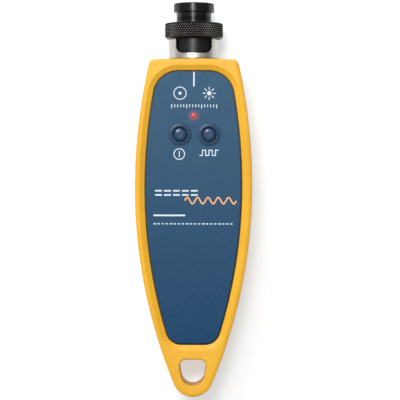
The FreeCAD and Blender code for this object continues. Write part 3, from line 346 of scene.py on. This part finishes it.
def red_lamp():
    n = Net("lamp_red")
    x, y, z = n.split()
    dx = n.math("SUBTRACT", x, LAMP[0] * MM)
    dy = n.math("SUBTRACT", y, LAMP[1] * MM)
    d = n.math("SQRT", n.math("ADD", n.math("MULTIPLY", dx, dx), n.math("MULTIPLY", dy, dy)))
    heart = n.ramp(d, 0.0, 0.001, 1.0, 0.0)
    glow = n.mix(heart, lin(206, 50, 44), lin(250, 110, 92))
    return n.surface(lin(160, 44, 36), 0.25, n.bump(n.noise(2400.0), 0.000004, 0.3), emission=glow, strength=0.27, specular=0.5)


def ink(name, a, b):
    """Screen-printed ink, a little uneven."""
    n = Net(name)
    base = n.mix(n.ramp(n.noise(2200.0, 2.0, 0.6), 0.35, 0.65), a, b)
    return n.surface(base, n.ramp(n.noise(800.0), 0.3, 0.7, 0.42, 0.55), n.bump(n.noise(5200.0), 0.000004, 0.4), specular=0.35)


def lens_glass():
    n = Net("glass_lens")
    tint = n.mix(n.ramp(n.noise(300.0), 0.3, 0.7), lin(235, 244, 240), lin(245, 250, 250))
    return n.surface(tint, 0.03, transmission=0.95, ior=1.52, specular=0.5)


MATS = {
    "yellow_shell": yellow_plastic(),
    "blue_panel": blue_overlay(),
    "blue_button": key_rubber(),
    "black_anodised": black_metal(),
    "nickel": bright_metal("post_nickel", lin(203, 200, 195), (0.34, 0.40), 6000.0, 0.00001),
    "red_lamp": red_lamp(),
    "board_green": board_mask(),
    "chip_black": plain_plastic("chip_body", lin(22, 22, 24), lin(34, 34, 36)),
    "steel": bright_metal("steel_bright", lin(190, 190, 192), (0.24, 0.36)),
    "brass": bright_metal("brass_turned", lin(206, 170, 92), (0.2, 0.3)),
    "gold_leaf": bright_metal("contact_gold", lin(212, 186, 124), (0.22, 0.34), 1800.0, along="x"),
    "zirconia": plain_plastic("zirconia_white", lin(232, 230, 224), lin(242, 240, 236), (0.12, 0.2), 400.0, 0.000002, 0.6),
    "lens_glass": lens_glass(),
    "capacitor": plain_plastic("capacitor_body", lin(120, 96, 70), lin(142, 116, 84)),
    "wire_red": plain_plastic("wire_red_sleeve", lin(168, 26, 22), lin(186, 36, 30)),
    "wire_black": plain_plastic("wire_black_sleeve", lin(24, 24, 26), lin(36, 36, 38)),
    "lamp_chip": plain_plastic("lamp_body", lin(226, 220, 206), lin(236, 232, 222)),
}
CELLS = {"battery_left": jacket("cell_left", 14.5, -36.0), "battery_right": jacket("cell_right", -36.0, 14.5)}
KNURL_BLACK = black_metal("nut_black", 8, (0.26, 0.32), 5200.0, 0.000004, specular=0.24, crest=NUT_R - 0.01)
GLOSS_BLACK = black_metal("cap_black", 5, (0.18, 0.24), 6500.0, 0.00002, specular=0.41)
COLLAR_BLUE = blue_overlay("collar_blue", (0.27, 0.37), 1.0)
WHITE_INK = ink("ink_white", lin(192, 207, 217), lin(202, 216, 225))
PALE_INK = ink("ink_pale", lin(158, 182, 204), lin(172, 194, 212))
ORANGE_INK = ink("ink_orange", lin(218, 158, 106), lin(226, 168, 116))

for name, node in NODES.items():
    for i, slot in enumerate(node.material_slots):
        was = slot.material.name.split(".")[0]
        if name in CELLS:
            slot.material = CELLS[name]
        elif name == "dust_cap":
            slot.material = GLOSS_BLACK
        else:
            slot.material = MATS[was]


# --------------------------------------------------------------- mesh helpers
def piece(name, verts, faces, material, body, smooth=None):
    """A mesh object from points in millimetres. smooth is the crease angle in degrees, or None for flat faces."""
    mesh = bpy.data.meshes.new(name)
    mesh.from_pydata([tuple(c * MM for c in v) for v in verts], [], faces)
    mesh.validate()
    bm = bmesh.new()
    bm.from_mesh(mesh)
    bmesh.ops.recalc_face_normals(bm, faces=bm.faces)
    if smooth is not None:
        limit = math.radians(smooth)
        for f in bm.faces:
            f.smooth = True
        for e in bm.edges:
            if len(e.link_faces) == 2 and e.calc_face_angle(0.0) > limit:
                e.smooth = False
    bm.to_mesh(mesh)
    bm.free()
    mesh.materials.append(material)
    obj = bpy.data.objects.new(name, mesh)
    SCENE.collection.objects.link(obj)
    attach(obj, body)
    return obj


def loop_grid(rows, cols, wrap_rows, wrap_cols):
    """Faces of a grid of rows x cols points."""
    faces = []
    for i in range(rows if wrap_rows else rows - 1):
        a, b = i * cols, ((i + 1) % rows) * cols
        for j in range(cols if wrap_cols else cols - 1):
            k = (j + 1) % cols
            faces.append((a + j, a + k, b + k, b + j))
    return faces


def tri(v):
    """A triangle wave: 1 at whole numbers, 0 half way."""
    return np.abs(2.0 * (v - np.floor(v)) - 1.0)


# ------------------------------------------------------- knurled coupling nut
def knurled_nut():
    around, per, axial, depth = 74, 8, 1.72, 0.38
    n = around * per
    y0, y1 = NUT_LO[1], NUT_HI[1]
    bevel, edge, hole, bore, shelf = 0.85, 0.4, 5.75, 9.75, NUT_HI[1] - 1.1
    ys = np.concatenate([[y0], y0 + bevel * np.array([0.25, 0.5, 0.75]),
                         np.linspace(y0 + bevel, y1 - edge, 46), [y1 - edge * 0.5, y1]])
    theta = np.arange(n) * (2 * math.pi / n)
    rows = []
    for y in ys:
        u = tri(theta * around / (2 * math.pi) + (y - y0) / axial)
        v = tri(theta * around / (2 * math.pi) - (y - y0) / axial)
        h = np.minimum(np.minimum(u, v) * 1.18, 1.0)
        r = NUT_R - depth + depth * h
        cut = NUT_R - max(0.0, y0 + bevel - y) * 1.0 if y < y0 + bevel else NUT_R - max(0.0, y - (y1 - edge)) * 1.0
        r = np.minimum(r, cut)
        rows.append((r, np.full(n, y)))
    inner = [(NUT_R - edge - 0.5, y1), (hole + 0.45, y1), (hole + 0.12, y1 - 0.1), (hole, y1 - 0.32), (hole, shelf + 0.1), (hole + 0.1, shelf),
             (bore - 0.08, shelf), (bore, shelf - 0.08)]
    turns = 30
    for k in range(turns + 1):
        y = shelf - 0.3 + (y0 + 0.3 - shelf + 0.3) * k / turns
        inner.append((bore + 0.16 * abs(((shelf - y) / 0.75) % 1.0 * 2 - 1.0), y))
    inner += [(bore + 0.25, y0), (bore + 0.9, y0)]
    for r, y in inner:
        rows.append((np.full(n, r), np.full(n, y)))
    verts = []
    for r, y in rows:
        xs, zs = r * np.sin(theta), r * np.cos(theta) + AXIS_Z
        verts += list(zip(xs.tolist(), y.tolist(), zs.tolist()))
    faces = loop_grid(len(rows), n, True, True)
    obj = piece("knurled_nut", verts, faces, KNURL_BLACK, "nut", smooth=32)
    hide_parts("coupling_nut")
    return obj


# ------------------------------------------------- thread on the port's collar
def post_thread():
    y0, y1, lead = POST_HI[1] - 3.8, POST_HI[1] - 0.1, 0.75
    a0 = math.asin(7.15 / 9.5) + 0.012
    cols, rows_n = 220, 60
    theta = np.linspace(a0, 2 * math.pi - a0, cols)
    rows = []
    for k in range(rows_n):
        y = y0 + (y1 - y0) * k / (rows_n - 1)
        fade = min(1.0, (y - y0) / 0.3, (y1 - y) / 0.3)
        ridge = tri(theta / (2 * math.pi) - y / lead)
        rows.append((9.47 + 0.2 * np.minimum(ridge * 1.15, 1.0) * fade, y))
    rows.append((np.full(cols, 9.3), y1))
    rows.append((np.full(cols, 9.3), y0))
    verts = []
    for r, y in rows:
        verts += [(float(a), y, float(b)) for a, b in zip(r * np.sin(theta), r * np.cos(theta) + AXIS_Z)]
    faces = loop_grid(len(rows), cols, True, False)
    m = len(rows)
    for j in (0, cols - 1):                                  # end walls, as fans of quads between the outer rows and the inner pair
        outer = [i * cols + j for i in range(m - 2)]
        faces.append(tuple(outer + [(m - 2) * cols + j, (m - 1) * cols + j]))
    return piece("port_thread", verts, faces, MATS["nickel"], "case", smooth=35)


# --------------------------------------------- fine ribs round the button rims
def collar_ribs(name, centre):
    """Short radial ribs moulded on the outer slope of the collar."""
    count, per = 54, 8
    n = count * per
    theta = np.arange(n) * (2 * math.pi / n)
    rise = np.clip(np.cos(theta * count) * 1.6, -0.1, 1.0) * 0.5 + 0.42
    prof = [(4.60, FACE_Z - 0.05, 0.0), (4.56, FACE_Z + 0.06, 0.3), (4.4, FACE_Z + 0.165, 1.0), (4.15, FACE_Z + 0.318, 1.0),
            (3.85, FACE_Z + 0.50, 0.9), (3.72, FACE_Z + 0.575, 0.25), (3.62, FACE_Z + 0.5, 0.0)]
    verts = []
    for r, z, k in prof:
        lift = np.maximum(rise, 0.0) * 0.05 * k
        rr = r + lift * 0.5
        verts += [(float(a), float(b), float(c)) for a, b, c in
                  zip(centre[0] + rr * np.cos(theta), centre[1] + rr * np.sin(theta), z + lift * 0.8)]
    faces = loop_grid(len(prof), n, True, True)
    return piece(name, verts, faces, COLLAR_BLUE, "case", smooth=40)


# ----------------------------------------------------------------- flat prints
PRINT_LOW, PRINT_HIGH = FACE_Z - 0.02, FACE_Z + 0.022


def plates(name, outlines, rings, material, body="case", low=None, high=None):
    """Thin raised ink: outlines are polygons, rings are (outer, inner) pairs of outlines with equal counts."""
    low = PRINT_LOW if low is None else low
    high = PRINT_HIGH if high is None else high
    verts, faces = [], []
    for poly in outlines:
        s, m = len(verts), len(poly)
        verts += [(x, y, low) for x, y in poly] + [(x, y, high) for x, y in poly]
        faces.append(tuple(range(s + m - 1, s - 1, -1)))
        faces.append(tuple(range(s + m, s + 2 * m)))
        faces += [(s + i, s + (i + 1) % m, s + m + (i + 1) % m, s + m + i) for i in range(m)]
    for outer, inner in rings:
        s, m = len(verts), len(outer)
        for z in (low, high):
            verts += [(x, y, z) for x, y in outer] + [(x, y, z) for x, y in inner]
        for i in range(m):
            k = (i + 1) % m
            faces.append((s + i, s + m + i, s + m + k, s + k))
            faces.append((s + 2 * m + i, s + 2 * m + k, s + 3 * m + k, s + 3 * m + i))
            faces.append((s + i, s + k, s + 2 * m + k, s + 2 * m + i))
            faces.append((s + m + i, s + 3 * m + i, s + 3 * m + k, s + m + k))
    return piece(name, verts, faces, material, body)


def circle(cx, cy, r, n=72):
    return [(cx + r * math.cos(2 * math.pi * i / n), cy + r * math.sin(2 * math.pi * i / n)) for i in range(n)]


def slab(x0, y0, x1, y1, r=0.12, lean=0.0, n=4):
    """A bar with rounded corners, leaning right by lean of its height."""
    pts = []
    for cx, cy, a in ((x1 - r, y1 - r, 0), (x0 + r, y1 - r, 90), (x0 + r, y0 + r, 180), (x1 - r, y0 + r, 270)):
        for i in range(n + 1):
            t = math.radians(a + 90 * i / n)
            pts.append((cx + r * math.cos(t), cy + r * math.sin(t)))
    return [(x + lean * (y - y0), y) for x, y in pts]


def stroke(points, width):
    """A flat line of even width through the points, with mitred corners."""
    w = width / 2
    left, right = [], []
    for i, (x, y) in enumerate(points):
        a = points[max(i - 1, 0)]
        b = points[min(i + 1, len(points) - 1)]
        if i == 0 or i == len(points) - 1:
            dx, dy = b[0] - a[0], b[1] - a[1]
            k = math.hypot(dx, dy)
            nx, ny, s = -dy / k, dx / k, 1.0
        else:
            d1 = (x - a[0], y - a[1])
            d2 = (b[0] - x, b[1] - y)
            k1, k2 = math.hypot(*d1), math.hypot(*d2)
            n1, n2 = (-d1[1] / k1, d1[0] / k1), (-d2[1] / k2, d2[0] / k2)
            nx, ny = n1[0] + n2[0], n1[1] + n2[1]
            k = math.hypot(nx, ny)
            nx, ny = nx / k, ny / k
            s = 1.0 / max(0.35, nx * n1[0] + ny * n1[1])
        left.append((x + nx * w * s, y + ny * w * s))
        right.append((x - nx * w * s, y - ny * w * s))
    return left, right


def ribbon_piece(name, lines, width, material, low=None, high=None, body="case"):
    low = PRINT_LOW if low is None else low
    high = PRINT_HIGH if high is None else high
    verts, faces = [], []
    for points in lines:
        left, right = stroke(points, width)
        m, s = len(points), len(verts)
        for z in (low, high):
            verts += [(x, y, z) for x, y in left] + [(x, y, z) for x, y in right]
        for i in range(m - 1):
            faces.append((s + i, s + m + i, s + m + i + 1, s + i + 1))
            faces.append((s + 2 * m + i, s + 2 * m + i + 1, s + 3 * m + i + 1, s + 3 * m + i))
            faces.append((s + i, s + i + 1, s + 2 * m + i + 1, s + 2 * m + i))
            faces.append((s + m + i, s + 3 * m + i, s + 3 * m + i + 1, s + m + i + 1))
        faces.append((s, s + 2 * m, s + 3 * m, s + m))
        faces.append((s + m - 1, s + 2 * m - 1, s + 4 * m - 1, s + 3 * m - 1))
    return piece(name, verts, faces, material, body)


def prints():
    top = PANEL_HI[1]
    made = []
    made.append(plates("print_index_line", [slab(-0.22, top - 6.0, 0.36, top - 0.12, 0.1)], [], WHITE_INK))
    # icon under the left button: ring with an upright bar
    cx, cy = -5.65, 17.8
    made.append(plates("print_power_mark", [slab(cx - 0.2, cy - 1.2, cx + 0.2, cy + 1.2, 0.15)],
                       [(circle(cx, cy, 2.28), circle(cx, cy, 1.92))], WHITE_INK))
    # icon under the right button: a train of square pulses
    x, y0, y1 = 2.35, 17.3, 19.35
    path, up = [(x, y0)], False
    for w in (1.15, 1.3, 1.3, 1.3, 1.3, 1.15):
        x += w
        path.append((x, y1 if up else y0))
        if w is not None and len(path) < 12:
            up = not up
            path.append((x, y1 if up else y0))
    path = path[:-1] if path[-1][0] == path[-2][0] else path
    made.append(ribbon_piece("print_pulse_mark", [path], 0.38, WHITE_INK))
    # two plain round marks over the lamp, and a row of ticks under them
    lx, rx, my = -5.4, 6.15, 41.9
    ray = [slab(rx - 0.18, my + 1.35, rx + 0.18, my + 2.6, 0.14)]
    rays = []
    for k in range(8):
        a = math.radians(45 * k)
        rays.append([(rx + (px - rx) * math.cos(a) - (py - my) * math.sin(a), my + (px - rx) * math.sin(a) + (py - my) * math.cos(a))
                     for px, py in ray[0]])
    made.append(plates("print_fibre_mark", [circle(lx, my, 0.62, 40)], [(circle(lx, my, 2.6), circle(lx, my, 2.24))], WHITE_INK))
    made.append(plates("print_light_mark", rays + [circle(rx, my, 0.85, 40)], [], WHITE_INK))
    ticks = [slab(-8.7 + 1.1875 * k - 0.17, 35.9 if k % 5 == 0 else 36.35, -8.7 + 1.1875 * k + 0.17, 37.5, 0.1) for k in range(16)]
    made.append(plates("print_scale_ticks", ticks, [], WHITE_INK))
    # plain bars and lines across the middle
    bars = [slab(-15.3 + 3.55 * k, y, -15.3 + 3.55 * k + 2.7, y + 0.62, 0.15, lean=0.35) for k in range(5) for y in (1.3, 2.95)]
    made.append(plates("print_white_bars", bars, [], WHITE_INK))
    wave = [(-3.4 + 20.4 * k / 120.0, -0.6 + 1.25 * math.sin(2 * math.pi * k / 120.0 * 5)) for k in range(121)]
    made.append(ribbon_piece("print_orange_wave", [wave], 0.58, ORANGE_INK))
    made.append(plates("print_short_rule", [slab(-15.8, -6.8, -3.2, -6.15, 0.2)], [], WHITE_INK))
    dots = [slab(-15.8 + 1.6 * k, -10.1, -15.8 + 1.6 * k + (0.95 if k % 4 else 1.2), -9.5, 0.2) for k in range(20)]
    made.append(plates("print_dashed_rule", dots, [], PALE_INK))
    return made


# ------------------------------------------------------------- marks on the back
def door_mark():
    """A raised arrow head on the battery door that points the way its free edge lifts."""
    z = DOOR_LO[2]
    tip, base, half = -33.5, -30.6, 2.6
    lines = [[(-half, base), (0.0, tip), (half, base)]]
    return ribbon_piece("door_arrow", lines, 0.9, MATS["yellow_shell"], low=z - 0.1, high=z + 0.05, body="door")


def button_cap(name, low, high, body):
    """A key with a flat middle, a broad sloping ring and a rolled edge, on its retaining flange."""
    cx, cy = (low[0] + high[0]) / 2, (low[1] + high[1]) / 2
    flange, round_, top, foot = (high[0] - low[0]) / 2, 2.65, high[2], low[2]
    knots = [(1.3, 0.0), (1.35, 11.0), (2.3, 34.0), (round_, 82.0)]      # radius, slope in degrees
    crown = [(0.05, top - 0.012), (0.5, top - 0.006), (0.85, top), (1.3, top)]
    for (r0, a0), (r1, a1) in zip(knots, knots[1:]):
        s0, s1 = math.sin(math.radians(a0)), math.sin(math.radians(a1))
        for k in range(1, 9):
            r, last = r0 + (r1 - r0) * k / 8, crown[-1]
            mid = s0 + (s1 - s0) * (k - 0.5) / 8
            crown.append((r, last[1] - (r - last[0]) * mid / math.sqrt(1.0 - mid * mid)))
    prof = [(0.05, foot), (flange - 0.08, foot), (flange, foot + 0.08), (flange, foot + 0.37), (flange - 0.08, foot + 0.45), (round_, foot + 0.45)]
    prof += crown[::-1]
    n = 96
    theta = np.arange(n) * (2 * math.pi / n)
    verts = []
    for r, z in prof:
        verts += [(float(a), float(b), z) for a, b in zip(cx + r * np.cos(theta), cy + r * np.sin(theta))]
    faces = loop_grid(len(prof), n, False, True)
    m = len(prof)
    faces += [tuple(range(n)), tuple(range((m - 1) * n, m * n))]
    obj = piece(name, verts, faces, MATS["blue_button"], body, smooth=35)
    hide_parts(name.replace("_cap", "_button"))
    return obj


knurled_nut()
post_thread()
button_cap("power_cap", POWER_LO, POWER_HI, "power_key")
button_cap("flash_cap", FLASH_LO, FLASH_HI, "flash_key")
collar_ribs("collar_ribs_left", POWER)
collar_ribs("collar_ribs_right", FLASH)
prints()
door_mark()


# ------------------------------------------------------------------ the stage
def floor():
    mesh = bpy.data.meshes.new("floor")
    s = 2.2
    mesh.from_pydata([(-s, -s, -0.00015), (s, -s, -0.00015), (s, s, -0.00015), (-s, s, -0.00015)], [], [(0, 1, 2, 3)])
    obj = bpy.data.objects.new("floor", mesh)
    SCENE.collection.objects.link(obj)
    n = Net("floor_pale")
    base = n.mix(n.ramp(n.noise(9.0), 0.3, 0.7), lin(196, 196, 198), lin(200, 200, 202))
    d = n.add("ShaderNodeBsdfDiffuse")
    n.link(base, d.inputs["Color"])
    e = n.add("ShaderNodeEmission")                      # a table lit from under its diffusing top
    e.inputs["Color"].default_value = (0.92, 0.97, 1.0, 1.0)
    e.inputs["Strength"].default_value = 0.48
    both = n.add("ShaderNodeAddShader")
    n.link(d.outputs[0], both.inputs[0])
    n.link(e.outputs[0], both.inputs[1])
    x, y, z = n.split()
    r = n.math("SQRT", n.math("ADD", n.math("MULTIPLY", x, x), n.math("MULTIPLY", y, y)))
    fade = n.ramp(r, 0.35, 1.6)
    g = n.add("ShaderNodeNewGeometry")
    gone = n.math("MAXIMUM", g.outputs["Backfacing"], fade)
    t = n.add("ShaderNodeBsdfTransparent")
    m = n.add("ShaderNodeMixShader")
    n.link(gone, m.inputs[0])
    n.link(both.outputs[0], m.inputs[1])
    n.link(t.outputs[0], m.inputs[2])
    n.link(m.outputs[0], n.out.inputs["Surface"])
    mesh.materials.append(n.mat)
    return obj


def area(name, place, target, size, power, color=(1, 1, 1), size_y=None, spread=180.0):
    data = bpy.data.lights.new(name, "AREA")
    data.shape = "RECTANGLE" if size_y else "DISK"
    data.size = size
    if size_y:
        data.size_y = size_y
    data.energy = power
    data.color = color
    data.spread = math.radians(spread)
    obj = bpy.data.objects.new(name, data)
    obj.location = place
    obj.rotation_mode = "QUATERNION"
    obj.rotation_quaternion = (Vector(target) - Vector(place)).to_track_quat("-Z", "Y")
    obj.visible_camera = False
    SCENE.collection.objects.link(obj)
    return obj


floor()
area("key", (-0.43, 0.855, 0.92), (0, 0, 0), 0.74, 11.2, size_y=0.66)
area("strip", (-0.085, 0.30, 1.08), (0, 0.05, 0.01), 0.30, 6.0, size_y=0.14)
area("ceiling", (-0.08, 0.40, 1.10), (0, 0.04, 0.01), 0.9, 0.5, size_y=0.4)

world = bpy.data.worlds.new("studio")
SCENE.world = world
world.use_nodes = True
wt = world.node_tree
wt.nodes.clear()
wo = wt.nodes.new("ShaderNodeOutputWorld")
seen = wt.nodes.new("ShaderNodeBackground")
seen.inputs["Color"].default_value = (0.985, 0.985, 0.99, 1)
lit = wt.nodes.new("ShaderNodeBackground")
gen = wt.nodes.new("ShaderNodeTexCoord")
sep = wt.nodes.new("ShaderNodeSeparateXYZ")
wt.links.new(gen.outputs["Generated"], sep.inputs[0])


def world_math(op, a, b):
    n = wt.nodes.new("ShaderNodeMath")
    n.operation = op
    for i, v in enumerate((a, b)):
        if isinstance(v, float):
            n.inputs[i].default_value = v
        else:
            wt.links.new(v, n.inputs[i])
    return n.outputs[0]


high = world_math("MULTIPLY", world_math("MAXIMUM", sep.outputs[2], 0.0), 0.14)
side = world_math("MULTIPLY", sep.outputs[0], -0.10)
wt.links.new(world_math("ADD", world_math("ADD", high, side), 0.32), lit.inputs["Strength"])
lit.inputs["Color"].default_value = (1.0, 0.99, 0.98, 1)
ray = wt.nodes.new("ShaderNodeLightPath")
mixer = wt.nodes.new("ShaderNodeMixShader")
wt.links.new(ray.outputs["Is Camera Ray"], mixer.inputs[0])
wt.links.new(lit.outputs[0], mixer.inputs[1])
wt.links.new(seen.outputs[0], mixer.inputs[2])
wt.links.new(mixer.outputs[0], wo.inputs["Surface"])

cam_data = bpy.data.cameras.new("camera")
cam_data.lens = 185.2
cam_data.sensor_width = 36.0
cam_data.clip_start, cam_data.clip_end = 0.05, 20.0
cam = bpy.data.objects.new("camera", cam_data)
cam.location = (0.00262, -0.00036, 0.8395)
cam.rotation_euler = (0.0, 0.0, 0.003)
SCENE.collection.objects.link(cam)
SCENE.camera = cam

SCENE.view_settings.view_transform = "Standard"
SCENE.view_settings.look = "None"
SCENE.view_settings.exposure = 0.0
SCENE.view_settings.gamma = 1.0

bpy.context.view_layer.update()
